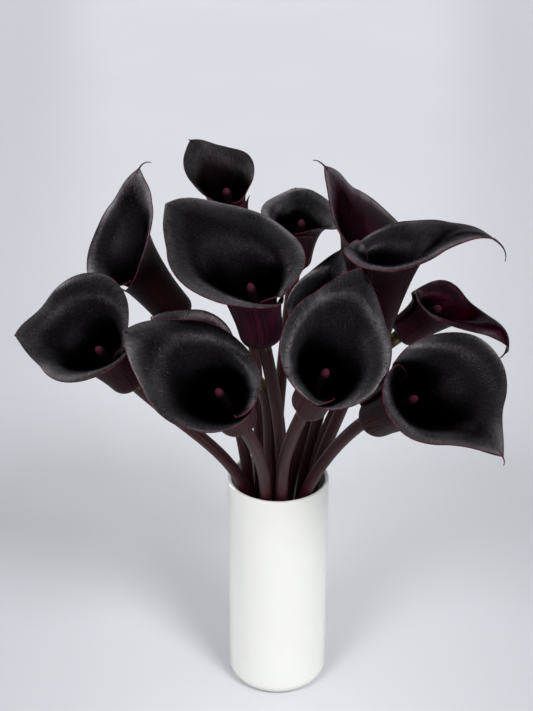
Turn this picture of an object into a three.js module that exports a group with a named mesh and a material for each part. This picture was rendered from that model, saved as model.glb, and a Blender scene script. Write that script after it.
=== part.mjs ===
import * as THREE from "three";

// A bunch of dark calla lilies standing in a plain white cylinder vase with some water.
// Millimetres and degrees, +Z up. The origin is the centre of the vase's foot, on the surface it stands on.

// ---------------------------------------------------------------- driving dimensions
const VASE_RADIUS = 43;
const VASE_HEIGHT = 200;
const VASE_WALL = 4;
const VASE_FLOOR = 9; // thickness of the bottom
const VASE_SIDES = 40;
const FOOT_ROUNDING = 12;
const LIP_RADIUS = VASE_WALL / 2;
const WATER_LEVEL = 105; // height of the water's surface above the foot
const HOLE_CLEARANCE = 0.55; // between a stem and the water round it
const HOLE_SIDES = 12;
const GAP = 0.3; // between pieces that touch

const STEM_RADIUS = 5.2;
const STEM_UPRIGHT = 153; // a stem stands upright in the vase up to this height, and leans out above it
const STEM_BEND = 0.36; // how far each end of a stem keeps its direction, as a share of its bent part

const SPADIX_RADIUS = 3.3;
const SPADIX_LENGTH = 48;
const SPADIX_BUMP = 0.35; // height of its florets
const SPADIX_BASE = 0.7; // its radius where it starts, as a share
const SPADIX_ROUND = 0.14; // its rounded top, as a share of its length

const SPATHE_THICKNESS = 1.3;
const SPATHE_EDGE = 0.9; // thickness at the edge
const SPATHE_HOLE = 4.4; // inner radius where the spathe sits on the stem
const BULB_LENGTH = 17; // length of the rounded bottom, measured along the leaf
const BULB_ANGLE = 82; // how far the bottom spreads from the tube's axis where it starts
const TUBE_ANGLE = 9; // how far the tube widens from its axis
const SLIT_ANGLE = 5; // how far each margin stays short of the throat where the leaf starts
const OVERLAP_ANGLE = 31; // how far each margin passes beyond the throat above that, round the tube
const LAYER_OFFSET = 1.4; // half the distance between the two layers there
const LAYER_OPENING = 1.3; // how much that grows towards the rim
const MARGIN_LENGTH = 46; // length of the leaf from the stem along its margins
const CUSP_WIDTH = 0.2; // half the width of the point at the tip, where the leaf is 1 from midrib to margin
const CURL_WIDTH = 0.1; // half the width that turns down at the tip
const CURL_START = 5; // where it starts to turn down, before the end of the leaf's body
const WAVE_HEIGHT = 2; // height of the waves along the rim
const WAVES = 3; // waves round the rim

// A spathe is one leaf rolled into a trumpet. Its lengths are measured along the leaf from the stem: to the
// tip, and to where the flare starts. The flare angles say how far the rim leans out from the tube, at the
// tip, at the sides and at the throat.
const USUAL = {
  size: 1,
  hand: 1, // which margin lies on the outside
  width: 1,
  tipLength: 104,
  neckLength: 24,
  slimness: 1.6, // how fast the leaf narrows from its sides to its tip
  flareTip: 50,
  flareSide: 105,
  flareThroat: 75,
  skew: 0, // how much further one side leans out, and the other side less
  flarePower: 2.6, // how late the flare comes
  cusp: 20, // length of the point beyond the tip
  curl: 20, // how far that point turns down
  follow: 1, // how far the top of the stem bends into the tube's direction
  peak: 0, // a longer place of the rim, at peakAt: -1 and 1 are the margins and 0 is the tip
  peakAt: 0,
  peakWidth: 0.16,
};

// Each flower: where it stands in the vase (slot), where its stem ends (base), which way its tube points (aim
// is the compass angle from +X, tilt is measured from the vertical), and the roll of its tip round the tube,
// from the tube's top side.
const FLOWERS = [
  {
    slot: [-10, -22], base: [-29, -90, 299], aim: 232, tilt: 34, roll: 92, size: 1,
    flareThroat: 102,
  },
  {
    slot: [3, -24], base: [19, -85, 308], aim: 315, tilt: 28, roll: -50, size: 0.98,
    hand: -1, width: 0.98, slimness: 1.2, flareThroat: 105,
  },
  {
    slot: [15, -18], base: [69, -60, 286], aim: 322, tilt: 52, roll: -177, size: 1.13,
    width: 1.15, tipLength: 88, slimness: 0.5, flareSide: 88, flareThroat: 35, follow: 0.4,
    peak: 20, peakAt: 0.42, peakWidth: 0.28,
  },
  {
    slot: [-20, -11], base: [-111, -60, 318], aim: 205, tilt: 38, roll: 134, size: 0.95,
    tipLength: 86, slimness: 0.6, peak: 28, peakAt: -0.4, peakWidth: 0.25,
  },
  {
    slot: [-24, 2], base: [-77, 4, 343], aim: 176, tilt: 38, roll: 50, size: 1,
    hand: -1, width: 0.95, tipLength: 96, neckLength: 38, slimness: 1.4, flareTip: 45, flareSide: 90,
    flareThroat: 40, skew: -5, peak: 20, peakAt: -0.42, peakWidth: 0.28,
  },
  {
    slot: [4, -11], base: [-12, -60, 352], aim: 197, tilt: 12, roll: 123, size: 1.06,
    width: 1.04, tipLength: 108, slimness: 0.8, flareThroat: 84,
  },
  {
    slot: [-15, 20], base: [-34, 40, 401], aim: 200, tilt: 12, roll: 112, size: 0.85,
    width: 0.95, tipLength: 92, flareTip: 20, flareSide: 56, flareThroat: 40, cusp: 8,
    peak: 12, peakAt: -0.45,
  },
  {
    slot: [-3, 22], base: [14, 70, 360], aim: 330, tilt: 8, roll: -50, size: 0.92,
    tipLength: 72, slimness: 0.5, flareTip: 60, flareSide: 100, flareThroat: 25, cusp: 6,
  },
  {
    slot: [8, 19], base: [64, 52, 326], aim: 0, tilt: 11, roll: -20, size: 1.18,
    tipLength: 90, flareTip: 20, flareSide: 70, flareThroat: 25, peak: 14, peakAt: -0.45, peakWidth: 0.25,
  },
  {
    slot: [24, -11], base: [67, -18, 327], aim: 335, tilt: 13, roll: -165, size: 1.16,
    tipLength: 82, neckLength: 58, flareTip: 58, flareThroat: 104, flarePower: 2.2, cusp: 24, curl: 45,
  },
  {
    slot: [26, 1], base: [98, 20, 320], aim: 352, tilt: 49, roll: 170, size: 0.9,
    slimness: 2.2, flareTip: 85, curl: 60, peak: 18, peakAt: 0.5,
  },
  { slot: [19, 12], base: [36, 17, 313], aim: 225, tilt: 14, roll: 8, size: 0.75, tipLength: 92 },
  { slot: [-8, -9], base: [-17, -41, 309], aim: 196, tilt: 61, roll: 90, size: 0.84, follow: 0.3 },
].map((own, k) => ({ ...USUAL, ...own, name: String(k + 1).padStart(2, "0") }));

const { degToRad: rad, lerp, clamp, smoothstep } = THREE.MathUtils;
const THROAT = 180 / (180 + OVERLAP_ANGLE); // the line of the leaf at the throat: 0 is the midrib, 1 a margin

// ---------------------------------------------------------------- the spathe

// Length of the leaf from the stem to its edge, without the point at its tip. u runs across the leaf, from -1
// to 1, and is 0 at the midrib.
function bodyLength(u, flower) {
  const body = Math.cos((Math.PI / 2) * u) ** (2 * flower.slimness);
  const peak = flower.peak * Math.exp(-(((u - flower.peakAt) / flower.peakWidth) ** 2));
  const longerNeck = flower.neckLength - USUAL.neckLength;
  return lerp(MARGIN_LENGTH, flower.tipLength, body) + peak + longerNeck;
}

function edgeLength(u, flower) {
  const cusp = flower.cusp * Math.max(0, 1 - Math.abs(u) / CUSP_WIDTH) ** 1.6;
  return bodyLength(u, flower) + cusp;
}

// Beyond the throat a margin lies on the other side of the leaf and takes its shape there.
function shapeLine(u) {
  return Math.abs(u) > THROAT ? u - 2 * THROAT * Math.sign(u) : u;
}

// Angle between the tube's axis and the leaf, at length s along the line u, where the leaf is that long.
function leafAngle(s, u, length, flower) {
  const turn = Math.PI * u;
  const neck = flower.neckLength;
  const bulb = BULB_ANGLE * (1 - smoothstep(s, 0, BULB_LENGTH));
  const tube = TUBE_ANGLE * smoothstep(s, BULB_LENGTH * 0.6, neck * 1.4);
  const mean = (flower.flareTip + flower.flareThroat) / 2;
  const fullFlare =
    (mean + flower.flareSide) / 2 +
    ((flower.flareTip - flower.flareThroat) / 2) * Math.cos(turn) +
    ((mean - flower.flareSide) / 2) * Math.cos(2 * turn) +
    flower.skew * Math.sin(turn);
  const along = clamp((s - neck) / (length - neck), 0, 1);
  const turnDown = smoothstep(s, length - CURL_START, length + flower.cusp);
  const curl = flower.curl * Math.exp(-((u / CURL_WIDTH) ** 2)) * turnDown;
  return rad(bulb + tube + fullFlare * along ** flower.flarePower + curl);
}

// Points along one line of the leaf, in the flower's own frame: z is the tube's axis and x the tip's side.
function leafLine(u, rows, flower) {
  const STEPS = 8; // integration steps in a row
  const length = edgeLength(u, flower);
  const shape = shapeLine(u);
  const shapeLength = bodyLength(shape, flower);
  const points = [];
  let r = SPATHE_HOLE;
  let z = 0;
  let from = 0;
  for (const row of rows) {
    const to = row * length;
    const step = (to - from) / STEPS;
    for (let k = 0; k < STEPS && step > 0; k++) {
      const slope = leafAngle(from + (k + 0.5) * step, shape, shapeLength, flower);
      r += Math.sin(slope) * step;
      z += Math.cos(slope) * step;
    }
    from = to;
    const angle = leafAngle(to, shape, shapeLength, flower);
    const beyond = lerp(-SLIT_ANGLE, OVERLAP_ANGLE, smoothstep(to, 4, BULB_LENGTH));
    const turn = u * rad(180 + beyond);
    const share = to / shapeLength;
    const layer = (LAYER_OFFSET + LAYER_OPENING * share) * u * smoothstep(to, 0, 7);
    const wave = WAVE_HEIGHT * Math.sin(WAVES * turn) * share ** 4;
    const out = r + (layer + wave) * Math.cos(angle);
    const up = z - (layer + wave) * Math.sin(angle);
    const side = out * Math.sin(turn) * flower.width * flower.hand;
    points.push(new THREE.Vector3(out * Math.cos(turn), side, up));
  }
  return points;
}

// A closed solid round a grid of points, half its thickness on each side. Both faces have the same diagonals.
function sheetSolid(grid, thickness) {
  const n = grid.length;
  const m = grid[0].length;
  const normalAt = (i, j) => {
    const across = grid[Math.min(i + 1, n - 1)][j].clone().sub(grid[Math.max(i - 1, 0)][j]);
    const along = grid[i][Math.min(j + 1, m - 1)].clone().sub(grid[i][Math.max(j - 1, 0)]);
    return across.cross(along).normalize();
  };
  const position = [];
  for (const side of [0.5, -0.5]) {
    for (let i = 0; i < n; i++) {
      for (let j = 0; j < m; j++) {
        position.push(...grid[i][j].clone().addScaledVector(normalAt(i, j), side * thickness(j)));
      }
    }
  }
  const top = (i, j) => i * m + j;
  const under = (i, j) => n * m + i * m + j;
  const index = [];
  const quad = (a, b, c, d) => index.push(a, b, c, a, c, d);
  for (let i = 0; i < n - 1; i++) {
    for (let j = 0; j < m - 1; j++) {
      quad(top(i, j), top(i + 1, j), top(i + 1, j + 1), top(i, j + 1));
      quad(under(i + 1, j + 1), under(i + 1, j), under(i, j), under(i, j + 1));
    }
    quad(under(i, 0), under(i + 1, 0), top(i + 1, 0), top(i, 0));
    quad(top(i, m - 1), top(i + 1, m - 1), under(i + 1, m - 1), under(i, m - 1));
  }
  for (let j = 0; j < m - 1; j++) {
    quad(top(0, j), top(0, j + 1), under(0, j + 1), under(0, j));
    quad(under(n - 1, j), under(n - 1, j + 1), top(n - 1, j + 1), top(n - 1, j));
  }
  const geometry = new THREE.BufferGeometry();
  geometry.setAttribute("position", new THREE.Float32BufferAttribute(position, 3));
  geometry.setIndex(index);
  geometry.computeVertexNormals();
  return geometry;
}

const COLUMNS = 18;
const ROWS = [0, 0.07, 0.14, 0.22, 0.33, 0.46, 0.6, 0.74, 0.86, 0.94, 1];

function spatheGeometry(flower) {
  const grid = [];
  for (let i = 0; i <= COLUMNS; i++) {
    const even = (2 * i) / COLUMNS - 1;
    const u = Math.sign(even) * Math.abs(even) ** 1.25; // lines lie closer near the tip
    grid.push(leafLine(u, ROWS, flower));
  }
  if (flower.hand < 0) grid.reverse();
  const thickness = (row) => lerp(SPATHE_THICKNESS, SPATHE_EDGE, smoothstep(ROWS[row], 0.7, 1));
  const geometry = sheetSolid(grid, thickness);
  geometry.scale(flower.size, flower.size, flower.size);
  geometry.translate(0, 0, (SPATHE_THICKNESS / 2) * flower.size);
  return geometry;
}

// ---------------------------------------------------------------- the spadix

// A rounded rod whose surface is raised into florets, in staggered rows.
function spadixGeometry(flower) {
  const SIDES = 8;
  const RINGS = 9;
  const length = SPADIX_LENGTH * flower.size;
  const ringRadius = (t) => {
    const rounded = clamp((t - 1 + SPADIX_ROUND) / SPADIX_ROUND, 0, 1);
    return SPADIX_RADIUS * Math.min(1, SPADIX_BASE + t) * Math.sqrt(1 - rounded ** 2);
  };
  const position = [0, 0, 0];
  for (let j = 0; j < RINGS; j++) {
    const t = (0.98 * j) / (RINGS - 1);
    for (let i = 0; i < SIDES; i++) {
      const turn = (2 * Math.PI * i) / SIDES;
      const floret = j > 0 && (i + j) % 2 ? SPADIX_BUMP : 0;
      const r = ringRadius(t) + floret;
      position.push(r * Math.cos(turn), r * Math.sin(turn), t * length);
    }
  }
  position.push(0, 0, length);
  const at = (i, j) => 1 + j * SIDES + (i % SIDES);
  const last = 1 + RINGS * SIDES;
  const index = [];
  for (let i = 0; i < SIDES; i++) {
    index.push(0, at(i + 1, 0), at(i, 0));
    for (let j = 0; j < RINGS - 1; j++) {
      index.push(at(i, j), at(i + 1, j), at(i + 1, j + 1));
      index.push(at(i, j), at(i + 1, j + 1), at(i, j + 1));
    }
    index.push(last, at(i, RINGS - 1), at(i + 1, RINGS - 1));
  }
  const geometry = new THREE.BufferGeometry();
  geometry.setAttribute("position", new THREE.Float32BufferAttribute(position, 3));
  geometry.setIndex(index);
  geometry.computeVertexNormals();
  return geometry;
}

// ---------------------------------------------------------------- the stem

// Axis of the flower's tube, and the turn that brings the flower's own frame into place.
function flowerFrame(flower) {
  const aim = rad(flower.aim);
  const tilt = rad(flower.tilt);
  const lean = Math.sin(tilt);
  const axis = new THREE.Vector3(lean * Math.cos(aim), lean * Math.sin(aim), Math.cos(tilt));
  const topSide = new THREE.Vector3(-Math.cos(tilt) * Math.cos(aim), -Math.cos(tilt) * Math.sin(aim), lean);
  const tipSide = topSide.applyAxisAngle(axis, rad(flower.roll));
  const across = axis.clone().cross(tipSide);
  const turn = new THREE.Matrix4().makeBasis(tipSide, across, axis);
  return { axis, quaternion: new THREE.Quaternion().setFromRotationMatrix(turn) };
}

// Upright in the vase, then one smooth bend to the flower.
function stemGeometry(flower, axis) {
  const foot = new THREE.Vector3(...flower.slot, VASE_FLOOR + GAP);
  const knee = foot.clone().setZ(STEM_UPRIGHT);
  const end = new THREE.Vector3(...flower.base).addScaledVector(axis, -GAP);
  const hold = STEM_BEND * knee.distanceTo(end);
  const path = new THREE.CurvePath();
  path.add(new THREE.LineCurve3(foot, knee));
  path.add(
    new THREE.CubicBezierCurve3(
      knee,
      knee.clone().setZ(STEM_UPRIGHT + hold),
      end.clone().addScaledVector(axis, -hold * flower.follow),
      end,
    ),
  );
  const section = new THREE.Shape().absarc(0, 0, STEM_RADIUS, 0, 2 * Math.PI);
  return new THREE.ExtrudeGeometry(section, { steps: 11, extrudePath: path, curveSegments: 4 });
}

// ---------------------------------------------------------------- the vase and the water
function vaseGeometry() {
  const inner = VASE_RADIUS - VASE_WALL;
  const profile = [new THREE.Vector2(0, 0)];
  const ARC = 4; // straight pieces in a rounded corner
  for (let k = 0; k <= ARC; k++) {
    const a = (k / ARC) * (Math.PI / 2);
    const r = VASE_RADIUS - FOOT_ROUNDING * (1 - Math.sin(a));
    profile.push(new THREE.Vector2(r, FOOT_ROUNDING * (1 - Math.cos(a))));
  }
  for (let k = 0; k <= ARC; k++) {
    const a = (k / ARC) * Math.PI;
    const r = VASE_RADIUS - LIP_RADIUS + LIP_RADIUS * Math.cos(a);
    profile.push(new THREE.Vector2(r, VASE_HEIGHT - LIP_RADIUS + LIP_RADIUS * Math.sin(a)));
  }
  profile.push(new THREE.Vector2(inner, VASE_FLOOR), new THREE.Vector2(0, VASE_FLOOR));
  return new THREE.LatheGeometry(profile, VASE_SIDES).rotateX(Math.PI / 2);
}

// The water fills the vase to its level and has a plain hole for each stem.
function waterGeometry() {
  const circle = (x, y, radius, sides) =>
    Array.from({ length: sides }, (_, k) => {
      const turn = (2 * Math.PI * k) / sides;
      return new THREE.Vector2(x + radius * Math.cos(turn), y + radius * Math.sin(turn));
    });
  const shape = new THREE.Shape(circle(0, 0, VASE_RADIUS - VASE_WALL - GAP, VASE_SIDES));
  for (const flower of FLOWERS) {
    shape.holes.push(new THREE.Path(circle(...flower.slot, STEM_RADIUS + HOLE_CLEARANCE, HOLE_SIDES)));
  }
  const depth = WATER_LEVEL - VASE_FLOOR - GAP;
  const geometry = new THREE.ExtrudeGeometry(shape, { depth, bevelEnabled: false });
  return geometry.translate(0, 0, VASE_FLOOR + GAP);
}

// ---------------------------------------------------------------- the bunch
const bunch = new THREE.Group();
bunch.name = "calla_lily_bunch";

function add(parent, name, geometry, look) {
  const mesh = new THREE.Mesh(geometry, new THREE.MeshStandardMaterial({ metalness: 0, ...look }));
  mesh.name = name;
  parent.add(mesh);
}

add(bunch, "vase", vaseGeometry(), { color: 0xf1f2ec, roughness: 0.15 });
const clear = { transparent: true, opacity: 0.35 };
add(bunch, "water", waterGeometry(), { color: 0xd6e2e4, roughness: 0.05, ...clear });
for (const flower of FLOWERS) {
  const { axis, quaternion } = flowerFrame(flower);
  add(bunch, "stem_" + flower.name, stemGeometry(flower, axis), { color: 0x4a3034, roughness: 0.45 });
  const head = new THREE.Group();
  head.name = "head_" + flower.name;
  head.position.set(...flower.base);
  head.quaternion.copy(quaternion);
  add(head, "spathe_" + flower.name, spatheGeometry(flower), { color: 0x170c10, roughness: 0.45 });
  add(head, "spadix_" + flower.name, spadixGeometry(flower), { color: 0x4a1126, roughness: 0.7 });
  bunch.add(head);
}

export default bunch;
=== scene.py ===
# %% [markdown]
# # Dark calla lilies in a white cylinder vase
# The bunch is thirteen cut flowers in a vase with some water. Each flower is a bare stem, a spathe, which is
# one leaf rolled into a trumpet, and a spadix, the bumpy spike inside it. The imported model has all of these
# pieces as plain solids of few faces. This script puts a fine surface in the place of each but the water, gives
# them all their finishes, and adds the light, the floor and the camera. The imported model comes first, because
# every piece is measured against it.

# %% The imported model
import math
import random

import bpy
import numpy as np
from mathutils import Matrix, Quaternion, Vector


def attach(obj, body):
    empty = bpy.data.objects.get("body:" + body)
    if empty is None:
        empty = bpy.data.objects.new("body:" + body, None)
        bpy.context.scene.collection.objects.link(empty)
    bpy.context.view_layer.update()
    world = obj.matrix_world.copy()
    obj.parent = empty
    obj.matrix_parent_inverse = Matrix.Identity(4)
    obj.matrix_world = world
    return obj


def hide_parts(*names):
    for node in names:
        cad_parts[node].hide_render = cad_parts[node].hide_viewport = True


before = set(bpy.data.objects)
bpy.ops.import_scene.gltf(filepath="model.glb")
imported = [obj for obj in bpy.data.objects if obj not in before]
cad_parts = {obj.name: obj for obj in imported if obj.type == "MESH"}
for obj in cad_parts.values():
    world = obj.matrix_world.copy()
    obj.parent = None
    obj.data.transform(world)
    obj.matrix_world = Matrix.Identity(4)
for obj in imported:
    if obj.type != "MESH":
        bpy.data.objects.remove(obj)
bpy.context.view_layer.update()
MM = 0.001

# %% [markdown]
# ## The camera
# The photograph looks down on the bunch from the front. The angle and the distance come from the vase: how
# far its mouth opens to the eye, and how much narrower its foot looks than its lip. The camera is set first,
# so that each later step can be looked at.

# %% The camera
CAMERA_PLACE = (-9.7 * MM, -978 * MM, 785 * MM)
CAMERA_DOWN = 25.8  # degrees below the horizon
CAMERA_LENS = 68.35  # for a picture 36 mm tall

eye = bpy.data.cameras.new("eye")
eye.sensor_fit = "VERTICAL"
eye.sensor_height = 36
eye.lens = CAMERA_LENS
camera = bpy.data.objects.new("camera", eye)
camera.location = CAMERA_PLACE
camera.rotation_euler = (math.radians(90 - CAMERA_DOWN), 0, 0)
bpy.context.collection.objects.link(camera)
bpy.context.scene.camera = camera
bpy.context.scene.view_settings.view_transform = "Standard"
print("camera", CAMERA_DOWN, "degrees down,", CAMERA_LENS, "mm lens")

# %% [markdown]
# ## Finishes as Python expressions
# A finish is a tree of shader nodes. Wiring it by hand takes three lines a node, and the maths gets lost in
# them. A small class that wraps a socket lets the maths be written as it is thought: `1 - mask * 0.5` adds
# its two Math nodes by itself. Colours go through Mix nodes instead, because a Math node turns a colour grey.


# %% A value in a finish
class Value:
    """A socket of a finish, which Python's operators can work on."""

    def __init__(self, finish, socket):
        self.finish = finish
        self.socket = socket

    def math(self, operation, first, second=0.0):
        node = self.finish.node("ShaderNodeMath", {"operation": operation}, {0: first, 1: second})
        return Value(self.finish, node.outputs[0])

    def __add__(self, other):
        return self.math("ADD", self, other)

    def __radd__(self, other):
        return self.math("ADD", other, self)

    def __sub__(self, other):
        return self.math("SUBTRACT", self, other)

    def __rsub__(self, other):
        return self.math("SUBTRACT", other, self)

    def __mul__(self, other):
        return self.math("MULTIPLY", self, other)

    def __rmul__(self, other):
        return self.math("MULTIPLY", other, self)

    def __abs__(self):
        return self.math("ABSOLUTE", self)


print("a Value turns + - * and abs into Math nodes")


# %% A finish
class Finish:
    """A material whose pattern is written with Values."""

    def __init__(self, name):
        self.material = bpy.data.materials.new(name)
        self.material.use_nodes = True
        self.tree = self.material.node_tree
        self.skin = self.tree.nodes["Principled BSDF"]

    def put(self, socket, value):
        if isinstance(value, Value):
            self.tree.links.new(value.socket, socket)
        else:
            socket.default_value = value

    def node(self, kind, settings, sockets):
        """Any node: its settings are set first, and then the values or links of its sockets."""
        made = self.tree.nodes.new(kind)
        for name, value in settings.items():
            setattr(made, name, value)
        for key, value in sockets.items():
            self.put(made.inputs[key], value)
        return made

    def attribute(self, name):
        """Three numbers that the mesh carries at each point."""
        made = self.node("ShaderNodeAttribute", {"attribute_name": name}, {})
        return Value(self, made.outputs["Vector"])

    def place(self):
        """Where a point lies on its object, in metres."""
        made = self.node("ShaderNodeTexCoord", {}, {})
        return Value(self, made.outputs["Object"])

    def parts(self, vector):
        made = self.node("ShaderNodeSeparateXYZ", {}, {0: vector})
        return [Value(self, made.outputs[k]) for k in range(3)]

    def vector(self, x, y, z):
        made = self.node("ShaderNodeCombineXYZ", {}, {0: x, 1: y, 2: z})
        return Value(self, made.outputs[0])

    def noise(self, vector, scale, detail=2.0, roughness=0.5):
        sockets = {"Vector": vector, "Scale": scale, "Detail": detail, "Roughness": roughness}
        made = self.node("ShaderNodeTexNoise", {"noise_dimensions": "3D"}, sockets)
        return Value(self, made.outputs[0])

    def ease(self, value, start, end, low=0.0, high=1.0):
        """A smooth step from low, where the value is at start, to high at end."""
        sockets = {0: value, 1: start, 2: end, 3: low, 4: high}
        made = self.node("ShaderNodeMapRange", {"interpolation_type": "SMOOTHSTEP"}, sockets)
        return Value(self, made.outputs[0])

    def thin_lines(self, noise, width):
        """Thin lines where a noise crosses its middle: 1 on a line and 0 beside it."""
        return self.ease(abs(noise - 0.5), 0.0, width, 1.0, 0.0)

    def mix(self, share, first, second):
        """The first colour where the share is 0, and the second where it is 1."""
        made = self.node("ShaderNodeMix", {"data_type": "RGBA"}, {0: share, 6: first, 7: second})
        return Value(self, made.outputs[2])

    def bump(self, height, distance, strength=1.0):
        sockets = {"Height": height, "Distance": distance, "Strength": strength}
        made = self.node("ShaderNodeBump", {}, sockets)
        return Value(self, made.outputs[0])

    def set(self, **sockets):
        """The material's own sockets, with an underscore for each space in a name."""
        for name, value in sockets.items():
            self.put(self.skin.inputs[name.replace("_", " ")], value)


def colour(red, green, blue):
    return (red, green, blue, 1.0)


print("values and finishes ready")

# %% [markdown]
# ## The finish of a spathe
# The inside is almost black and soft as velvet, and it shines like silk only where the rim rolls outward. Down
# in the throat it is painted darker still, a painted shade where the trumpet closes in. A dark paint would turn
# grey at the rim, because every paint mirrors the sky at a flat angle. So the inside is set as a metal of the
# leaf's own dark colour, with a dark tint on the shine at flat angles. A fine grain runs from the throat to the
# rim, and a slow drift breaks the silk of the rim into bright and dull lengths. The outside is an ordinary
# skin, a brown mauve with parallel veins, and wine red where the margins overlap; that red is partly its own
# colour and partly painted light shining through the thin leaf. A thin crimson line follows the whole edge. The
# mesh
# carries what the pattern needs: the line of the leaf, the length along it, the distance to the edge and the
# side. That holds the veins to the leaf however it is rolled, which a pattern laid from outside can't do.

# %% The colours of a spathe
# Painted shade: the near black down in the trumpet's throat.
THROAT_SHADE = colour(0.0008, 0.0005, 0.0007)
INSIDE = colour(0.029, 0.025, 0.028)
SILK = colour(0.210, 0.198, 0.208)
BURGUNDY = colour(0.024, 0.002, 0.008)
SPECK = colour(0.13, 0.125, 0.12)
OUTSIDE = colour(0.010, 0.0016, 0.0026)
OUTSIDE_PALE = colour(0.066, 0.036, 0.037)
VEIN = colour(0.006, 0.002, 0.003)
# The outside's wine red is partly the leaf's own colour and partly painted light shining through the thin leaf.
WINE_AND_BACKLIGHT = colour(0.038, 0.0035, 0.014)
CRIMSON = colour(0.095, 0.016, 0.028)
CRIMSON_DARK = colour(0.026, 0.0055, 0.010)
GREEN = colour(0.20, 0.22, 0.03)
FLAT_SHINE = colour(0.32, 0.30, 0.32)
print("the throat is", round(INSIDE[0] / THROAT_SHADE[0]), "times darker than the inside")

# %% The finish of a spathe
# Each pair is a distance in millimetres where something starts and one where it is full.
# Between these lengths from the stem, the throat's painted shade gives way to the inside's tone.
THROAT_SHADE_ALONG = (26.0, 98.0)  # from the stem: the throat's black gives way to the inside's tone
SOFT_SILK = (24.0, 7.0)  # from the edge
BRIGHT_SILK = (9.0, 1.5)
SOFT_SHARE = 0.35
EDGE_LINE = (0.4, 0.1)
PALE_BULB = (60.0, 12.0)  # from the stem
GREEN_FOOT = (9.0, 3.0)
MARGIN = (0.68, 0.95)  # across the leaf, where the midrib is 0 and the margin 1


def spathe_finish():
    skin = Finish("spathe_skin")
    across, along, rim = skin.parts(skin.attribute("leaf"))
    side, tone, pale = skin.parts(skin.attribute("look"))
    blush_and_backlight, blush_inside, gloss = skin.parts(skin.attribute("tint"))

    def pattern(lines, rate, seed, detail, roughness=0.5):
        """A noise with many lines across the leaf, drawn out by its low rate along it."""
        return skin.noise(skin.vector(across * lines, along * rate, seed), 1.0, detail, roughness)

    outside = skin.ease(side, -0.1, 0.1, 1.0, 0.0)
    edge = skin.ease(rim, *EDGE_LINE)
    out_of_throat_shade = skin.ease(along, *THROAT_SHADE_ALONG)
    rolled = skin.ease(rim, *SOFT_SILK) * SOFT_SHARE + skin.ease(rim, *BRIGHT_SILK) * (1 - SOFT_SHARE)

    grain = pattern(220, 0.12, side, 3.0, 0.6)
    streaks = pattern(40, 0.025, tone * 7, 2.0)
    mottle = pattern(6, 0.035, tone * 9, 3.0)
    drift = skin.ease(pattern(4, 0.02, tone * 23, 2.0), 0.35, 0.65)
    brushed = skin.ease(grain, 0.30, 0.72) * 0.75 + skin.ease(streaks, 0.35, 0.68) * 0.25
    velvet = skin.ease(pattern(95, 0.9, tone * 17, 1.0), 0.42, 0.72)
    specks = skin.ease(pattern(130, 1.1, tone * 31, 0.0), 0.79, 0.86)
    # Painted shade: down in the throat the inside darkens to near black.
    inner = skin.mix(out_of_throat_shade * (0.22 + mottle * 0.4 + brushed * 0.3 + velvet * 0.6), THROAT_SHADE, INSIDE)
    inner = skin.mix(blush_inside * (0.6 + streaks), inner, BURGUNDY)
    inner = skin.mix(rolled * gloss * (0.12 + drift * 0.36 + brushed * 0.25 + velvet * 0.12), inner, SILK)
    inner = skin.mix(specks * out_of_throat_shade, inner, SPECK)

    veins = skin.thin_lines(pattern(30, 0.012, tone * 5, 1.0), 0.05)
    fine_veins = skin.thin_lines(pattern(75, 0.02, tone * 3, 1.0), 0.07)
    outer = skin.mix(pale * skin.ease(along, *PALE_BULB), OUTSIDE, OUTSIDE_PALE)
    # Partly painted light: the wine red stands in part for light shining through the thin leaf.
    outer = skin.mix(blush_and_backlight * (0.2 + mottle + skin.ease(abs(across), *MARGIN) * 0.8), outer, WINE_AND_BACKLIGHT)
    outer = skin.mix(veins * 0.8, outer, VEIN)
    outer = skin.mix(fine_veins * 0.5, outer, VEIN)
    outer = skin.mix(skin.ease(along, *GREEN_FOOT) * skin.ease(mottle, 0.42, 0.6), outer, GREEN)

    line = skin.mix(skin.ease(streaks, 0.35, 0.65), CRIMSON_DARK, CRIMSON)
    relief = grain * (1 - outside) + (veins + fine_veins * 0.5) * outside
    skin.set(
        Base_Color=skin.mix(edge, skin.mix(outside, inner, outer), line),
        Metallic=(1 - outside) * (1 - edge),
        Roughness=0.22 + outside * 0.23 + grain * 0.14,
        Normal=skin.bump(relief, 0.0005, 0.6),
        Specular_IOR_Level=0.10,
        Specular_Tint=FLAT_SHINE,
    )
    return skin.material


spathe_skin = spathe_finish()
print("finish:", spathe_skin.name)

# %% [markdown]
# ## The flowers
# Each flower stands in its own place in the vase, and its stem ends at its base. The tube's direction is a
# compass angle and a tilt, and the roll turns the tip round the tube. These are the flowers of the packed
# model, because a fine spathe has to lie on the solid that it stands for.

# %% The usual flower
USUAL = dict(
    size=1.0,
    hand=1,  # 1 or -1: which margin lies on the outside
    width=1.0,
    tip_length=104,  # along the midrib, in millimetres
    neck_length=24,  # where the tube starts to flare
    slimness=1.6,  # how soon the leaf gets shorter beside the midrib
    flare_tip=50,  # degrees that the leaf turns out from the tube: at the tip,
    flare_side=105,  # at the sides,
    flare_throat=75,  # and at the throat, where the margins overlap
    skew=0,  # degrees more on one side than on the other
    flare_power=2.6,  # how late the flare comes
    cusp=20,  # length of the point at the tip
    curl=20,  # degrees that the point turns down
    follow=1.0,  # how straight the stem runs into the flower
    peak=0,  # a second peak on the edge: its height,
    peak_at=0.0,  # its place across the leaf, from -1 to 1,
    peak_width=0.16,  # and its width
    thread=9,  # length of the thread at the tip
    pale=0.5,  # how pale the bulb is
    # The outside's red is partly its own colour and partly painted light through the leaf.
    blush_and_backlight=0.5,  # how red the outside is
    blush_inside=0.0,
    gloss=1.0,  # how much the rolled rim shines
)
print("the usual spathe is", USUAL["tip_length"] + USUAL["cusp"], "mm long")

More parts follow.
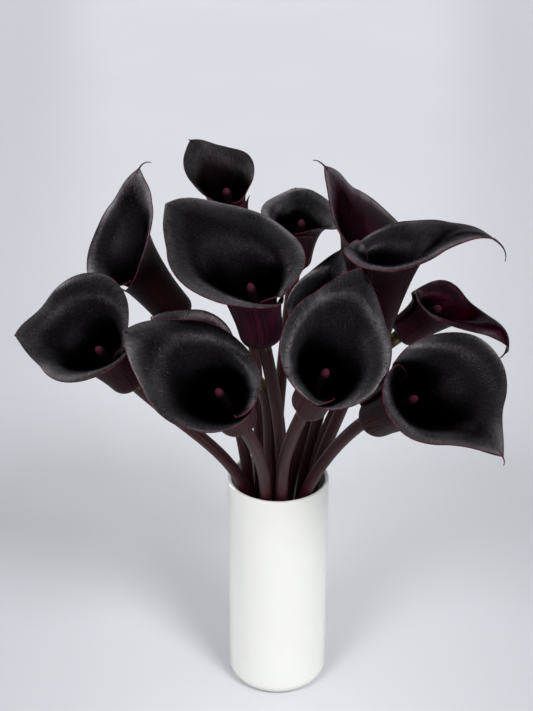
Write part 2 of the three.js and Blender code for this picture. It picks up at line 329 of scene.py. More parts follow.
# %% The flowers
FLOWERS = [
    dict(
        slot=(-10, -22), base=(-29, -90, 299), aim=232, tilt=34, roll=92, flare_throat=102,
        thread=5, pale=0.8, blush_and_backlight=0.4,
    ),
    dict(
        slot=(3, -24), base=(19, -85, 308), aim=315, tilt=28, roll=-50, size=0.98, hand=-1, width=0.98,
        slimness=1.2, flare_throat=105, pale=1.0, blush_and_backlight=0.2,
    ),
    dict(
        slot=(15, -18), base=(69, -60, 286), aim=322, tilt=52, roll=-177, size=1.13, width=1.15,
        tip_length=88, slimness=0.5, flare_side=88, flare_throat=35, follow=0.4, peak=20, peak_at=0.42,
        peak_width=0.28, pale=0.6, blush_and_backlight=0.2,
    ),
    dict(
        slot=(-20, -11), base=(-111, -60, 318), aim=205, tilt=38, roll=134, size=0.95, tip_length=86,
        slimness=0.6, peak=28, peak_at=-0.4, peak_width=0.25, thread=4,
    ),
    dict(
        slot=(-24, 2), base=(-77, 4, 343), aim=176, tilt=38, roll=50, hand=-1, width=0.95,
        tip_length=96, neck_length=38, slimness=1.4, flare_tip=45, flare_side=90, flare_throat=40,
        skew=-5, peak=20, peak_at=-0.42, peak_width=0.28, thread=16, pale=0.2, blush_and_backlight=0.1,
    ),
    dict(
        slot=(4, -11), base=(-12, -60, 352), aim=197, tilt=12, roll=123, size=1.06, width=1.04,
        tip_length=108, slimness=0.8, flare_throat=84, thread=5, pale=0.2, blush_and_backlight=1.0, gloss=1.5,
    ),
    dict(
        slot=(-15, 20), base=(-34, 40, 401), aim=200, tilt=12, roll=112, size=0.85, width=0.95,
        tip_length=92, flare_tip=20, flare_side=56, flare_throat=40, cusp=8, peak=12, peak_at=-0.45,
        thread=3, blush_inside=0.2,
    ),
    dict(
        slot=(-3, 22), base=(14, 70, 360), aim=330, tilt=8, roll=-50, size=0.92, tip_length=72,
        slimness=0.5, flare_tip=60, flare_side=100, flare_throat=25, cusp=6, thread=3, gloss=2.0,
    ),
    dict(
        slot=(8, 19), base=(64, 52, 326), aim=0, tilt=11, roll=-20, size=1.18, tip_length=90,
        flare_tip=20, flare_side=70, flare_throat=25, peak=14, peak_at=-0.45, peak_width=0.25,
        thread=14, blush_inside=0.6,
    ),
    dict(
        slot=(24, -11), base=(67, -18, 327), aim=335, tilt=13, roll=-165, size=1.16, tip_length=82,
        neck_length=58, flare_tip=58, flare_throat=104, flare_power=2.2, cusp=24, curl=45, thread=18,
        pale=0.1, blush_and_backlight=0.15, gloss=1.1,
    ),
    dict(
        slot=(26, 1), base=(98, 20, 320), aim=352, tilt=49, roll=170, size=0.9, slimness=2.2,
        flare_tip=85, curl=60, peak=18, peak_at=0.5, thread=13, blush_and_backlight=1.0, blush_inside=0.8, gloss=0.5,
    ),
    dict(slot=(19, 12), base=(36, 17, 313), aim=225, tilt=14, roll=8, size=0.75, tip_length=92),
    dict(
        slot=(-8, -9), base=(-17, -41, 309), aim=196, tilt=61, roll=90, size=0.84, follow=0.3,
        blush_and_backlight=1.0, blush_inside=1.0,
    ),
]
for number, own in enumerate(FLOWERS, start=1):
    own.update({**USUAL, **own}, name=f"{number:02d}")
print(len(FLOWERS), "flowers")


# %% Small tools for shapes
def rad(degrees):
    return degrees * math.pi / 180


def ease(value, start, end):
    """A smooth step from 0 to 1, on arrays."""
    share = np.clip((value - start) / (end - start), 0, 1)
    return share * share * (3 - 2 * share)


def lerp(first, second, share):
    return first + (second - first) * share


def unit(vectors):
    return vectors / np.linalg.norm(vectors, axis=-1, keepdims=True)


def flower_frame(flower):
    """The turn that brings a flower's own frame into place: x is the tip's side and z the tube's axis."""
    aim, tilt = rad(flower["aim"]), rad(flower["tilt"])
    axis = Vector((math.sin(tilt) * math.cos(aim), math.sin(tilt) * math.sin(aim), math.cos(tilt)))
    top_side = Vector((-math.cos(tilt) * math.cos(aim), -math.cos(tilt) * math.sin(aim), math.sin(tilt)))
    tip_side = Quaternion(axis, rad(flower["roll"])) @ top_side
    return Matrix((tip_side, axis.cross(tip_side), axis)).transposed()


def in_place(points, flower):
    """Points of a flower's own frame, in millimetres, as metres in the model's frame."""
    turn = np.array(flower_frame(flower))
    return (points.reshape(-1, 3) @ turn.T + np.array(flower["base"])) * MM


def new_piece(name, node, finish, points, faces, values):
    """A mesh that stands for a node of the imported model, with the values that its finish reads."""
    if isinstance(faces, np.ndarray):  # and not a list, for faces with different numbers of corners
        faces = faces.tolist()
    mesh = bpy.data.meshes.new(name)
    mesh.from_pydata(points.tolist(), [], faces)
    mesh.shade_smooth()
    for key, numbers in values.items():
        layer = mesh.attributes.new(key, "FLOAT_VECTOR", "POINT")
        layer.data.foreach_set("vector", np.ascontiguousarray(numbers, np.float32).ravel())
    mesh.materials.append(finish)
    piece = bpy.data.objects.new(name, mesh)
    bpy.context.collection.objects.link(piece)
    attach(piece, "root")
    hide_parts(node)
    return piece


def strip_faces(rings, sides):
    """The four-cornered faces of a skin through rings of points that close on themselves."""
    index = np.arange(rings * sides).reshape(rings, sides)
    right = np.roll(index, -1, axis=1)
    return np.stack([index[:-1], right[:-1], right[1:], index[1:]], axis=-1).reshape(-1, 4)


print("a strip of 2 rings with 8 sides has", len(strip_faces(2, 8)), "faces")

# %% [markdown]
# ## The spathe
# A real spathe is a flat leaf that grows rolled up, so it is modelled that way: a grid of lines that run from
# the stem to the edge. Each line starts with the rounded bulb, goes up the tube and flares out, and its
# margins pass each other at the throat. Integrating the angle of each line keeps the lengths along the leaf
# true, as they are in a leaf that bends and doesn't stretch. A lathe would give the tube, but neither the
# overlap nor the long tip.

# %% Sizes of a spathe
# Millimetres and degrees, for a flower of size 1.
HOLE = 4.4  # inner radius where the spathe sits on the stem
BULB_LENGTH = 17
BULB_ANGLE = 82  # how steeply the bulb opens at the stem
TUBE_ANGLE = 9
SLIT_ANGLE = 2.2  # each margin's share of the slit at the bulb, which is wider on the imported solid
OVERLAP_ANGLE = 31  # how far each margin passes the middle of the throat
LAYER_OFFSET = 1.4  # between the two margins where they overlap
LAYER_OPENING = 1.3  # and this much more at the edge
LAYER_START = 7
MARGIN_LENGTH = 46
CUSP_WIDTH = 0.2
CUSP_POWER = 1.6
CURL_WIDTH = 0.1
CURL_START = 5
WAVE_HEIGHT = 2
WAVES = 3
RIPPLES = (5, 7, 11)  # counts of the small ripples round the edge
RIPPLE_HEIGHT = 1.6
THICKNESS = 1.3
EDGE_THICKNESS = 0.8
EDGE_TAPER = 14
THROAT_LINE = 180 / (180 + OVERLAP_ANGLE)
COLUMNS = 112
COLUMN_SPACING = 1.25  # over 1: the lines lie closer together near the midrib
ROWS = 60
STEPS = 4  # integration steps in a row
print("a leaf has", COLUMNS, "by", ROWS, "patches on each face")


# %% The lines of a leaf
def body_length(u, flower):
    """Length of the leaf along the lines u, without the point at its tip."""
    body = np.abs(np.cos(np.pi / 2 * u)) ** (2 * flower["slimness"])
    peak = flower["peak"] * np.exp(-(((u - flower["peak_at"]) / flower["peak_width"]) ** 2))
    longer_neck = flower["neck_length"] - USUAL["neck_length"]
    return lerp(MARGIN_LENGTH, flower["tip_length"], body) + peak + longer_neck


def edge_length(u, flower):
    """Length of the leaf along the lines u, with the point at its tip."""
    cusp = flower["cusp"] * np.maximum(0, 1 - np.abs(u) / CUSP_WIDTH) ** CUSP_POWER
    return body_length(u, flower) + cusp


def leaf_angle(s, u, length, flower):
    """Angle between the tube's axis and the leaf, at length s along the lines u."""
    neck = flower["neck_length"]
    mean = (flower["flare_tip"] + flower["flare_throat"]) / 2
    flare = (
        (mean + flower["flare_side"]) / 2
        + (flower["flare_tip"] - flower["flare_throat"]) / 2 * np.cos(np.pi * u)
        + (mean - flower["flare_side"]) / 2 * np.cos(2 * np.pi * u)
        + flower["skew"] * np.sin(np.pi * u)
    )
    bulb = BULB_ANGLE * (1 - ease(s, 0, BULB_LENGTH))
    tube = TUBE_ANGLE * ease(s, BULB_LENGTH * 0.6, neck * 1.4)
    share = np.clip((s - neck) / (length - neck), 0, 1)
    turn_down = ease(s, length - CURL_START, length + flower["cusp"])
    curl = flower["curl"] * np.exp(-((u / CURL_WIDTH) ** 2)) * turn_down
    return rad(bulb + tube + flare * share ** flower["flare_power"] + curl)


usual_length = body_length(np.array([0.0, THROAT_LINE, 1.0]), USUAL)
print("length at the midrib, the throat and the margin:", usual_length.round(), "mm")


# %% A rolled leaf
def draw_ripples(flower):
    """The small ripples round the edge: how many, where they start and how high they are."""
    draw = random.Random("rim " + flower["name"])
    return [(count, draw.uniform(0, 2 * math.pi), RIPPLE_HEIGHT / count) for count in RIPPLES]


def edge_wave(turn, share, u, ripples):
    """How far the leaf waves in and out, more and more towards its edge."""
    wave = WAVE_HEIGHT * np.sin(WAVES * turn) * share**4
    for count, phase, height in ripples:
        wave = wave + height * np.sin(count * turn + phase) * share**6 * (1 - np.abs(u) ** 4)
    return wave


def leaf_grid(flower):
    """The leaf's middle surface as a grid of points, and the length along the leaf at each."""
    even = np.linspace(-1, 1, COLUMNS + 1)
    u = np.sign(even) * np.abs(even) ** COLUMN_SPACING
    length = edge_length(u, flower)
    # Past the throat's line, a margin takes the shape of the leaf that it overlaps.
    shape = np.where(np.abs(u) > THROAT_LINE, u - 2 * THROAT_LINE * np.sign(u), u)
    shape_length = body_length(shape, flower)
    r = np.full(len(u), HOLE)
    z = np.zeros(len(u))
    ripples = draw_ripples(flower)
    points, lengths = [], []
    for row in range(ROWS + 1):
        to = length * row / ROWS
        step = length / ROWS / STEPS
        for k in range(STEPS if row else 0):
            slope = leaf_angle(to - step * (STEPS - k - 0.5), shape, shape_length, flower)
            r = r + np.sin(slope) * step
            z = z + np.cos(slope) * step
        angle = leaf_angle(to, shape, shape_length, flower)
        beyond = lerp(-SLIT_ANGLE, OVERLAP_ANGLE, ease(to, 4, BULB_LENGTH))
        turn = u * rad(180 + beyond)
        share = to / shape_length
        layer = (LAYER_OFFSET + LAYER_OPENING * share) * u * ease(to, 0, LAYER_START)
        shift = layer + edge_wave(turn, share, u, ripples)
        out = r + shift * np.cos(angle)
        up = z - shift * np.sin(angle)
        side = out * np.sin(turn) * flower["width"] * flower["hand"]
        points.append(np.stack([out * np.cos(turn), side, up], axis=1))
        lengths.append(to)
    size = flower["size"]
    grid = np.stack(points, axis=1) * size + np.array([0, 0, THICKNESS / 2 * size])
    return u, grid, np.stack(lengths, axis=1) * size


print("the first leaf is", leaf_grid(FLOWERS[0])[1][..., 2].max().round(), "mm high before it leans")

# %% [markdown]
# A leaf has two faces and a rounded edge. The two faces are the middle surface moved out and in along its own
# normal, and a few rows of faces round the edge close them. A Solidify modifier does much the same, but it
# leaves a square edge, and the rim's thin bright line is what the eye sees first.


# %% The edge of a leaf
def rim_distance(grid):
    """Distance over the leaf to its nearest edge, apart from the edge at the stem."""
    along = np.linalg.norm(np.diff(grid, axis=1), axis=2)
    to_end = np.zeros(grid.shape[:2])
    to_end[:, :-1] = np.cumsum(along[:, ::-1], axis=1)[:, ::-1]
    across = np.linalg.norm(np.diff(grid, axis=0), axis=2)
    from_first = np.zeros(grid.shape[:2])
    from_first[1:] = np.cumsum(across, axis=0)
    to_margin = np.minimum(from_first, from_first[-1] - from_first)
    return np.minimum(to_end, to_margin)


def edge_ring(n, m):
    """The places of a grid's outermost points, once round: two rows of numbers."""
    ring = [(i, 0) for i in range(n - 1)] + [(n - 1, j) for j in range(m - 1)]
    ring += [(i, m - 1) for i in range(n - 1, 0, -1)] + [(0, j) for j in range(m - 1, 0, -1)]
    return np.array(ring).T


EDGE_ANGLES = (50, 90, 130)  # the rows of the round edge, in degrees round it


def round_edge(grid, outward, half, i, j):
    """The rows of points round the edge, and how far each row faces inwards."""
    n, m = grid.shape[:2]
    off = unit(grid[i, j] - grid[np.clip(i, 1, n - 2), np.clip(j, 1, m - 2)])
    points, sides = [], []
    for angle in EDGE_ANGLES:
        bulge = math.cos(rad(angle)) * outward[i, j] + math.sin(rad(angle)) * off
        points.append(grid[i, j] + half[i, j] * bulge)
        sides.append(np.full(len(i), -math.cos(rad(angle))))
    return points, sides


print("points round a leaf:", edge_ring(COLUMNS + 1, ROWS + 1).shape[1])


# %% A leaf with two faces and a round edge
def sheet_faces(n, m, i, j):
    """The faces of a closed leaf: the outer face, the inner face, and the strips round the edge."""
    top = np.arange(n * m).reshape(n, m)
    a, b, c, d = top[:-1, :-1], top[1:, :-1], top[1:, 1:], top[:-1, 1:]
    outer = np.stack([a, b, c, d], axis=-1).reshape(-1, 4)
    inner = np.stack([a, d, c, b], axis=-1).reshape(-1, 4) + n * m
    rows = [top[i, j]]
    for k in range(len(EDGE_ANGLES)):
        rows.append(2 * n * m + k * len(i) + np.arange(len(i)))
    rows.append(rows[0] + n * m)
    edge = []
    for first, second in zip(rows[:-1], rows[1:]):
        edge.append(np.stack([np.roll(first, -1), first, second, np.roll(second, -1)], axis=-1))
    return np.concatenate([outer, inner, *edge])


def leaf_sheet(flower):
    """A closed leaf: its points and faces, what its finish reads, and the grid that it was made from."""
    u, grid, lengths = leaf_grid(flower)
    n, m = grid.shape[:2]
    outward = unit(np.cross(np.gradient(grid, axis=0), np.gradient(grid, axis=1))) * flower["hand"]
    rim = rim_distance(grid)
    half = lerp(EDGE_THICKNESS, THICKNESS, ease(rim, 0, EDGE_TAPER))[..., None] * flower["size"] / 2
    i, j = edge_ring(n, m)
    edge_points, edge_sides = round_edge(grid, outward, half, i, j)
    points = [(grid + outward * half).reshape(-1, 3), (grid - outward * half).reshape(-1, 3), *edge_points]
    sides = [np.full(n * m, -1.0), np.full(n * m, 1.0), *edge_sides]
    faces = sheet_faces(n, m, i, j)
    if flower["hand"] < 0:
        faces = faces[:, ::-1]
    leaf = np.stack([np.repeat(u, m), lengths.ravel(), rim.ravel()], axis=1)
    edge_leaf = np.stack([u[i], lengths[i, j], rim[i, j]], axis=1)
    leaf = np.concatenate([leaf, leaf] + [edge_leaf] * len(EDGE_ANGLES))
    return np.concatenate(points), faces, leaf, np.concatenate(sides), grid, outward


print("points of a closed leaf:", len(leaf_sheet(FLOWERS[0])[0]))

# %% [markdown]
# The tip of a calla lily ends in a thread, the dried end of the midrib. It is too thin for the leaf's grid,
# so it is a tapered tube that starts inside the leaf and curls to the leaf's outer side.


# %% The thread at the tip
THREAD_RADIUS = 1.0
THREAD_END = 0.3
THREAD_ROOT = 3  # length of the thread inside the leaf
THREAD_CURL = 80  # degrees from its root to its end
THREAD_SIDES = 8
THREAD_RINGS = 16


def tip_thread(flower, grid, outward):
    """A tapered tube that goes on from the midrib and curls back."""
    middle = COLUMNS // 2
    place = grid[middle, -3]
    ahead = unit(grid[middle, -1] - grid[middle, -3])
    back = outward[middle, -2]
    beside = np.cross(ahead, back)
    points = []
    for k in range(THREAD_RINGS + 1):
        share = k / THREAD_RINGS
        bend = rad(THREAD_CURL) * share**1.5
        heading = ahead * math.cos(bend) + back * math.sin(bend)
        level = np.cross(beside, heading)
        radius = lerp(THREAD_RADIUS, THREAD_END, share**0.7) * (1 if k < THREAD_RINGS else 0.5)
        for j in range(THREAD_SIDES):
            turn = 2 * math.pi * j / THREAD_SIDES
            points.append(place + radius * (math.cos(turn) * beside + math.sin(turn) * level))
        place = place + heading * (flower["thread"] + THREAD_ROOT) / THREAD_RINGS
    return np.array(points), strip_faces(THREAD_RINGS + 1, THREAD_SIDES)


longest = max(flower["thread"] for flower in FLOWERS)
print("the longest thread is", longest, "mm")


# %% The spathes
def make_spathe(flower):
    """A closed leaf and its thread, as one piece."""
    points, faces, leaf, side, grid, outward = leaf_sheet(flower)
    thread_points, thread_faces = tip_thread(flower, grid, outward)
    faces = np.concatenate([faces, thread_faces + len(points)])
    points = np.concatenate([points, thread_points])
    count = len(thread_points)
    leaf = np.concatenate([leaf, np.tile([0.0, flower["tip_length"], 0.0], (count, 1))])
    side = np.concatenate([side, np.zeros(count)])
    tone = int(flower["name"]) / len(FLOWERS)
    look = np.stack([side, np.full(len(side), tone), np.full(len(side), flower["pale"])], axis=1)
    tint = np.tile([flower["blush_and_backlight"], flower["blush_inside"], flower["gloss"]], (len(side), 1))
    name = flower["name"]
    values = {"leaf": leaf, "look": look, "tint": tint}
    return new_piece(
        f"leaf_{name}", f"spathe_{name}", spathe_skin, in_place(points, flower), faces, values
    )


spathes = [make_spathe(flower) for flower in FLOWERS]
print("spathes:", len(spathes), "with", sum(len(piece.data.polygons) for piece in spathes), "faces")

# %% [markdown]
# ## The spadix
# The spike is covered with tiny round florets in spiral rows. At this size they are a relief on a rod: the
# radius rises to each floret's top and falls between them, by a formula on the angle and the height. Only its
# top catches light in the dark trumpet, so the colour falls to almost black below the top.

# %% The finish of a spadix
FLORET = colour(0.080, 0.015, 0.030)
FLORET_LIT = colour(0.11, 0.025, 0.040)
BETWEEN_FLORETS = colour(0.022, 0.0045, 0.009)
# Painted shade: below its top the spike is near black, where the trumpet shades it.
SPIKE_SHADE = colour(0.004, 0.001, 0.002)  # of everything below the top
SPIKE_TOP = (0.86, 0.98)  # shares of the spike's length where the top's colour starts and is full


def spadix_finish():
    skin = Finish("spadix_skin")
    height, floret, around = skin.parts(skin.attribute("spike"))
    floret_colour = skin.mix(skin.ease(floret, 0.2, 1.0), BETWEEN_FLORETS, FLORET)
    spots = skin.noise(skin.vector(around * 8, height * 40, 0.0), 1.0, 2.0)
    lit = skin.mix(skin.ease(spots, 0.45, 0.7) * 0.5, floret_colour, FLORET_LIT)
    skin.set(
        Base_Color=skin.mix(skin.ease(height, *SPIKE_TOP), SPIKE_SHADE, lit),
        Roughness=0.5 + spots * 0.25,
        Normal=skin.bump(spots, 0.0003, 0.4),
        Specular_IOR_Level=0.1,
    )
    return skin.material


spadix_skin = spadix_finish()
print("finish:", spadix_skin.name)

# %% The spadices
SPADIX_RADIUS = 3.3
SPADIX_LENGTH = 48
SPADIX_BASE = 0.7  # share of the radius at the foot
SPADIX_ROUND = 0.14  # share of the length that the rounded top takes
SPADIX_SIDES = 60
SPADIX_RINGS = 96
FLORETS_ROUND = 12
FLORET_ROWS = 36
FLORET_HEIGHT = 0.35
FLORET_POWER = 0.7  # below 1: broad tops and narrow valleys


def make_spadix(flower):
    """A rod with a rounded top, whose radius rises to each floret."""
    turn = np.linspace(0, 2 * np.pi, SPADIX_SIDES, endpoint=False)[None, :]
    # Rings lie closer together at the rounded top.
    share = np.sin(np.linspace(0, np.pi / 2, SPADIX_RINGS + 1))[:, None]
    rounded = np.sqrt(1 - np.clip((share - 1 + SPADIX_ROUND) / SPADIX_ROUND, 0, 1) ** 2)
    spiral = FLORETS_ROUND * turn / 2
    rows = FLORET_ROWS * np.pi * share
    floret = np.abs(np.cos(spiral + rows) * np.cos(spiral - rows)) ** FLORET_POWER
    radius = (SPADIX_RADIUS * np.minimum(1, SPADIX_BASE + share) + FLORET_HEIGHT * floret) * rounded
    height = share * SPADIX_LENGTH * flower["size"] + 0 * turn
    points = np.stack([radius * np.cos(turn), radius * np.sin(turn), height], axis=-1).reshape(-1, 3)
    faces = strip_faces(SPADIX_RINGS + 1, SPADIX_SIDES)
    spike = np.stack([share + 0 * turn, floret, np.cos(turn) + 0 * share], axis=-1).reshape(-1, 3)
    name = flower["name"]
    return new_piece(
        f"spike_{name}", f"spadix_{name}", spadix_skin, in_place(points, flower), faces,
        {"spike": spike},
    )


spadices = [make_spadix(flower) for flower in FLOWERS]
print("spadices:", len(spadices))

# %% [markdown]
# ## The stems
# A calla stem is a fleshy rod with faint ribs and no leaves. It stands upright in the vase and then bends out
# to its flower in one curve. A bevelled curve would be quicker, but a mesh can swell a little where it meets
# the bulb, and it carries the length and the angle that the streaks follow.

# %% The finish of a stem
STEM = colour(0.055, 0.015, 0.015)
STEM_DARK = colour(0.020, 0.005, 0.006)
STEM_RED = colour(0.040, 0.006, 0.009)
STEM_PATCH = colour(0.082, 0.046, 0.042)
RED_HEIGHT = (235.0, 190.0)  # heights above the vase's foot where the red starts and is full
GREEN_TOP = (7.0, 1.0)  # distances below the flower where the green starts and is full


def stem_finish():
    skin = Finish("stem_skin")
    height, around, to_flower = skin.parts(skin.attribute("stalk"))
    streaks = skin.noise(skin.vector(around * 14, height * 0.006, 0.0), 1.0, 3.0, 0.6)
    patches = skin.noise(skin.vector(around * 2, height * 0.02, 3.0), 1.0, 2.0)
    skin_colour = skin.mix(skin.ease(streaks, 0.35, 0.65), STEM_DARK, STEM)
    skin_colour = skin.mix(skin.ease(patches, 0.45, 0.75) * 0.6, skin_colour, STEM_PATCH)
    skin_colour = skin.mix(skin.ease(height, *RED_HEIGHT) * 0.8, skin_colour, STEM_RED)
    green = skin.ease(to_flower, *GREEN_TOP) * skin.ease(patches, 0.4, 0.6)
    skin.set(
        Base_Color=skin.mix(green, skin_colour, GREEN),
        Roughness=0.34 + streaks * 0.2,
        Normal=skin.bump(streaks, 0.0004, 0.5),
        Specular_IOR_Level=0.16,
    )
    return skin.material


stem_skin = stem_finish()
print("finish:", stem_skin.name)

# %% The path of a stem
VASE_FLOOR = 9
GAP = 0.3  # over the vase's floor, and how far the top reaches into the flower
STEM_UPRIGHT = 153  # height where the bend starts
STEM_BEND = 0.36  # how far the curve holds on to its first and last direction
UPRIGHT_RINGS = 11
BENT_RINGS = 80


def stem_path(flower):
    """Points along a stem's middle, from its cut end to the flower, in millimetres."""
    axis = flower_frame(flower) @ Vector((0, 0, 1))
    foot = Vector((*flower["slot"], VASE_FLOOR + GAP))
    knee = Vector((*flower["slot"], STEM_UPRIGHT))
    end = Vector(flower["base"]) + axis * GAP
    hold = STEM_BEND * (end - knee).length
    first = knee + Vector((0, 0, hold))
    second = end - axis * hold * flower["follow"]
    upright = [foot.lerp(knee, k / UPRIGHT_RINGS) for k in range(UPRIGHT_RINGS)]
    bent = []
    for t in np.linspace(0, 1, BENT_RINGS):
        bent.append(
            knee * (1 - t) ** 3 + first * 3 * t * (1 - t) ** 2 + second * 3 * t**2 * (1 - t) + end * t**3
        )
    return np.array(upright + bent)


paths = [stem_path(flower) for flower in FLOWERS]
lengths = [np.linalg.norm(np.diff(path, axis=0), axis=1).sum() for path in paths]
print("stems are from", round(min(lengths)), "to", round(max(lengths)), "mm long")

# %% The stems
STEM_RADIUS = 5.2
STEM_SIDES = 32
STEM_SWELL = 0.10  # wider by this share where it meets the flower
SWELL_LENGTH = 3
STEM_TAPER = 0.05  # and thinner by this share further down
TAPER_LENGTH = 25
RIBS = 5
RIB_HEIGHT = 0.012  # as a share of the radius


def make_stem(flower, path):
    """A tube of rings along the path, closed at both ends."""
    heading = unit(np.gradient(path, axis=0))
    length = np.concatenate([[0], np.cumsum(np.linalg.norm(np.diff(path, axis=0), axis=1))])
    to_flower = length[-1] - length
    swell = STEM_SWELL * np.exp(-to_flower / SWELL_LENGTH)
    taper = STEM_TAPER * (1 - np.exp(-to_flower / TAPER_LENGTH))
    turn = np.linspace(0, 2 * np.pi, STEM_SIDES, endpoint=False)
    first_rib = random.Random("stem " + flower["name"]).uniform(0, 2 * math.pi)
    ribbed = 1 + RIB_HEIGHT * np.cos(RIBS * turn + first_rib)
    around = np.cos(turn) + 2 * np.sin(turn) + first_rib
    side = np.array([1.0, 0.0, 0.0])
    points, stalk = [], []
    for place, ahead, rest, wider in zip(path, heading, to_flower, 1 + swell - taper):
        side = unit(side - ahead * np.dot(side, ahead))
        other = np.cross(ahead, side)
        radius = (STEM_RADIUS * wider * ribbed)[:, None]
        points.append(place + radius * (np.cos(turn)[:, None] * side + np.sin(turn)[:, None] * other))
        stalk.append(np.stack([np.full(STEM_SIDES, place[2]), around, np.full(STEM_SIDES, rest)], axis=1))
    faces = strip_faces(len(path), STEM_SIDES).tolist()
    index = np.arange(len(path) * STEM_SIDES).reshape(len(path), STEM_SIDES)
    faces += [index[0, ::-1].tolist(), index[-1].tolist()]
    name = flower["name"]
    return new_piece(
        f"stalk_{name}", f"stem_{name}", stem_skin, np.concatenate(points) * MM, faces,
        {"stalk": np.concatenate(stalk)},
    )


stems = [make_stem(flower, path) for flower, path in zip(FLOWERS, paths)]
print("stems:", len(stems))

# %% [markdown]
# ## The vase
# A straight white cylinder of glazed earthenware, with a rounded lip and a rounded foot. Its profile is
# turned round the axis in many steps, so that its outline is a true curve. A Screw modifier could turn it
# too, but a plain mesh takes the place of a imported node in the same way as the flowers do. The glaze is a
# clear coat over a slightly warm white, with a very slight unevenness, so that its reflections waver a
# little.

# %% The finish of the vase
GLAZE = (colour(0.775, 0.775, 0.73), colour(0.79, 0.79, 0.745))


def glaze_finish():
    skin = Finish("white_glaze")
    uneven = skin.noise(skin.place(), 38.0, 2.0)
    fine = skin.noise(skin.place(), 420.0, 1.0)
    skin.set(
        Base_Color=skin.mix(skin.ease(uneven, 0.3, 0.7), *GLAZE),
        Roughness=0.16 + uneven * 0.06,
        Normal=skin.bump(uneven * 0.8 + fine * 0.04, 0.0012, 0.08),
        Coat_Weight=1.0,
        Coat_Roughness=0.06,
    )
    return skin.material


glaze = glaze_finish()
print("finish:", glaze.name)

# %% The profile of the vase
VASE_RADIUS = 43
VASE_HEIGHT = 200
VASE_WALL = 4
FOOT_ROUNDING = 12
INNER_CORNER = 2
PROFILE_STEPS = 12  # in each wall and each rounding


def vase_profile():
    """Radius and height, in millimetres, from the middle of the foot over the lip to the floor inside."""
    lip = VASE_WALL / 2
    inner = VASE_RADIUS - VASE_WALL
    profile = [(0, 0)]
    for k in range(PROFILE_STEPS + 1):
        a = k / PROFILE_STEPS * math.pi / 2
        radius = VASE_RADIUS - FOOT_ROUNDING * (1 - math.sin(a))
        profile.append((radius, FOOT_ROUNDING * (1 - math.cos(a))))
    for k in range(1, PROFILE_STEPS):
        profile.append((VASE_RADIUS, lerp(FOOT_ROUNDING, VASE_HEIGHT - lip, k / PROFILE_STEPS)))
    for k in range(PROFILE_STEPS + 1):
        a = k / PROFILE_STEPS * math.pi
        profile.append((VASE_RADIUS - lip + lip * math.cos(a), VASE_HEIGHT - lip + lip * math.sin(a)))
    for k in range(1, PROFILE_STEPS):
        profile.append((inner, lerp(VASE_HEIGHT - lip, VASE_FLOOR + INNER_CORNER, k / PROFILE_STEPS)))
    cut = INNER_CORNER * 0.3
    profile += [(inner - cut, VASE_FLOOR + cut), (inner - INNER_CORNER, VASE_FLOOR), (0, VASE_FLOOR)]
    return profile


print("the vase's profile has", len(vase_profile()), "points")

# %% The vase
VASE_TURNS = 160


def make_vase(profile):
    """The profile turned round the axis. It starts and ends with a point on the axis."""
    points = [(0, 0, 0)]
    for radius, height in profile[1:-1]:
        for k in range(VASE_TURNS):
            a = 2 * math.pi * k / VASE_TURNS
            points.append((radius * math.cos(a), radius * math.sin(a), height))
    points.append((0, 0, VASE_FLOOR))
    last = len(points) - 1
    rings = len(profile) - 2
    faces = (strip_faces(rings, VASE_TURNS) + 1).tolist()
    top = 1 + (rings - 1) * VASE_TURNS
    for k in range(VASE_TURNS):
        after = (k + 1) % VASE_TURNS
        faces += [(0, 1 + after, 1 + k), (top + k, top + after, last)]
    return new_piece("glazed_vase", "vase", glaze, np.array(points) * MM, faces, {})


vase = make_vase(vase_profile())
print("vase:", len(vase.data.polygons), "faces")

# %% [markdown]
# ## The water
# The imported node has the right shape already: a block with a hole for each stem. It only gets the look of
# clear water, with a slight ripple.


# %% The water
WATER = (colour(0.60, 0.68, 0.68), colour(0.72, 0.78, 0.78))


def water_finish():
    skin = Finish("clear_water")
    ripple = skin.noise(skin.place(), 60.0, 2.0)
    skin.set(
        Base_Color=skin.mix(ripple, *WATER),
        Roughness=0.03 + ripple * 0.03,
        Normal=skin.bump(ripple, 0.002, 0.2),
        IOR=1.33,
        Alpha=0.35,
    )
    return skin.material


water = bpy.data.objects["water"]
for slot in water.material_slots:
    slot.material = water_finish()
print("water:", len(water.material_slots), "material slot")

# %% [markdown]
# ## The floor
# The bunch stands on pale blue-grey paper that sweeps up behind it, so that no horizon shows. The scene gets a
# little darker to both sides. That is painted shade: the paper is made darker there, because a light that fell
# off like that would change the flowers too.

# %% The finish of the floor
PAPER = (colour(0.605, 0.614, 0.646), colour(0.655, 0.664, 0.696))
# Painted shade: the paper darkens towards both sides, where the light would fall off.
PAPER_SHADE_ASIDE = colour(0.535, 0.545, 0.575)
ASIDE = (0.06, 0.30)  # metres from the middle where the darker paper starts and is full
ASIDE_SPREAD = 0.13  # and how much wider that gets for each metre back


def floor_finish():
    skin = Finish("pale_paper")
    place = skin.place()
    across, back, _ = skin.parts(place)
    paper = skin.mix(skin.noise(place, 2.2, 2.0), *PAPER)
    shade_aside = skin.ease(abs(across) - back * ASIDE_SPREAD, *ASIDE)
    skin.set(Base_Color=skin.mix(shade_aside, paper, PAPER_SHADE_ASIDE), Roughness=0.85, Specular_IOR_Level=0.2)
    return skin.material


paper_skin = floor_finish()
print("finish:", paper_skin.name)

# %% The floor
# In metres.
FLOOR_REACH = 6.0
FLOOR_BACK = 3.4
SWEEP_RADIUS = 1.2
SWEEP_HEIGHT = 3.0
SWEEP_STEPS = 12


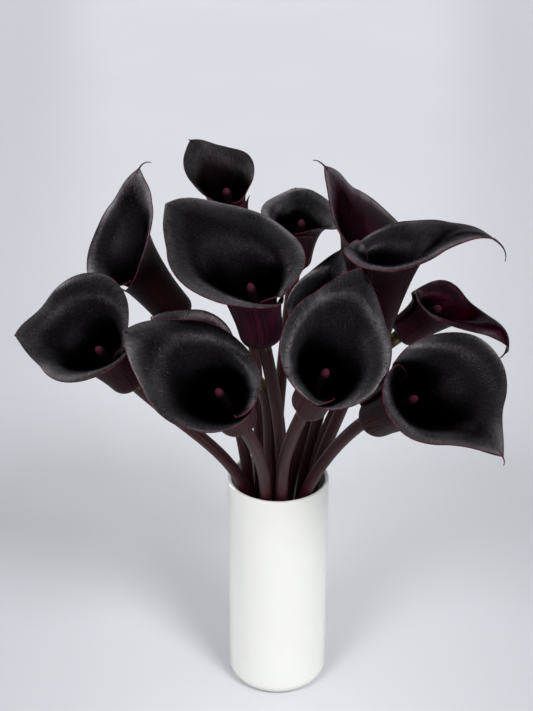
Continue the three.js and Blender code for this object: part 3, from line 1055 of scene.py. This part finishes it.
def make_floor():
    """A flat floor that turns up into a wall in a quarter round."""
    profile = [(-FLOOR_REACH, 0.0), (FLOOR_BACK, 0.0)]
    for k in range(1, SWEEP_STEPS + 1):
        a = k / SWEEP_STEPS * math.pi / 2
        profile.append((FLOOR_BACK + SWEEP_RADIUS * math.sin(a), SWEEP_RADIUS * (1 - math.cos(a))))
    profile.append((FLOOR_BACK + SWEEP_RADIUS, SWEEP_HEIGHT))
    points = [(x, y, z) for y, z in profile for x in (-FLOOR_REACH, FLOOR_REACH)]
    faces = [(2 * k, 2 * k + 1, 2 * k + 3, 2 * k + 2) for k in range(len(profile) - 1)]
    mesh = bpy.data.meshes.new("sweep")
    mesh.from_pydata(points, [], faces)
    mesh.shade_smooth()
    mesh.materials.append(paper_skin)
    sweep = bpy.data.objects.new("sweep", mesh)
    bpy.context.collection.objects.link(sweep)
    return sweep


floor = make_floor()
print("floor:", len(floor.data.polygons), "faces")

# %% [markdown]
# ## The light
# The light is soft, from a pale sky all round. Two suns from the front, left and right, throw the two pale
# shadows that open behind the vase, and two much wider ones from the sides fill them. A sun would glint in
# the trumpets, so none of the four shows in a reflection. The reflections have lights of their own: a small
# panel on each side in front shows in the glaze, and a wide one behind and two at the back draw the silk
# along the rims. These three light nothing but reflections, because they would bleach the floor.


# %% Two kinds of light
LIGHT_AIM = Vector((0, 0, 0.25))


def panel(name, place, width, height, watts, diffuse=True):
    """A soft rectangular light that faces the bunch."""
    light = bpy.data.lights.new(name, "AREA")
    light.shape = "RECTANGLE"
    light.size = width
    light.size_y = height
    light.energy = watts
    made = bpy.data.objects.new(name, light)
    made.location = place
    made.rotation_euler = (LIGHT_AIM - Vector(place)).to_track_quat("-Z", "Y").to_euler()
    made.visible_diffuse = diffuse
    bpy.context.collection.objects.link(made)
    return made


def soft_sun(name, compass, height, strength, softness):
    """A soft light from far away, so that it falls evenly on the whole floor."""
    light = bpy.data.lights.new(name, "SUN")
    light.energy = strength
    light.angle = rad(softness)
    compass, height = rad(compass), rad(height)
    level = math.cos(height)
    towards = Vector((math.sin(compass) * level, -math.cos(compass) * level, math.sin(height)))
    made = bpy.data.objects.new(name, light)
    made.rotation_euler = towards.to_track_quat("Z", "Y").to_euler()
    made.visible_glossy = False
    bpy.context.collection.objects.link(made)
    return made


print("panels face", tuple(LIGHT_AIM))


# %% The light
# Panels: place, width and height in metres, and watts. Suns: degrees to the right of the front, degrees up,
# strength, and degrees of softness.
SKY = colour(0.78, 0.80, 0.84)
SKY_STRENGTH = 0.40
lights = [
    panel("panel_left", (-0.65, -0.78, 0.95), 0.40, 0.14, 1.8),
    panel("panel_right", (0.65, -0.78, 0.95), 0.40, 0.14, 1.8),
    panel("panel_behind", (-0.3, 1.5, 1.6), 2.6, 0.35, 7, diffuse=False),
    panel("panel_left_back", (-1.5, 1.0, 0.9), 0.6, 1.2, 9, diffuse=False),
    panel("panel_right_back", (1.5, 1.0, 0.9), 0.5, 1.0, 4, diffuse=False),
    soft_sun("fill_left", -75, 30, 0.62, 90),
    soft_sun("fill_right", 75, 30, 0.72, 90),
    soft_sun("sun_left", -32, 45, 0.88, 18),
    soft_sun("sun_right", 34, 45, 1.50, 18),
]
world = bpy.data.worlds.new("sky")
world.use_nodes = True
background = world.node_tree.nodes["Background"]
background.inputs["Color"].default_value = SKY
background.inputs["Strength"].default_value = SKY_STRENGTH
bpy.context.scene.world = world
print("lights:", len(lights), "and the sky")
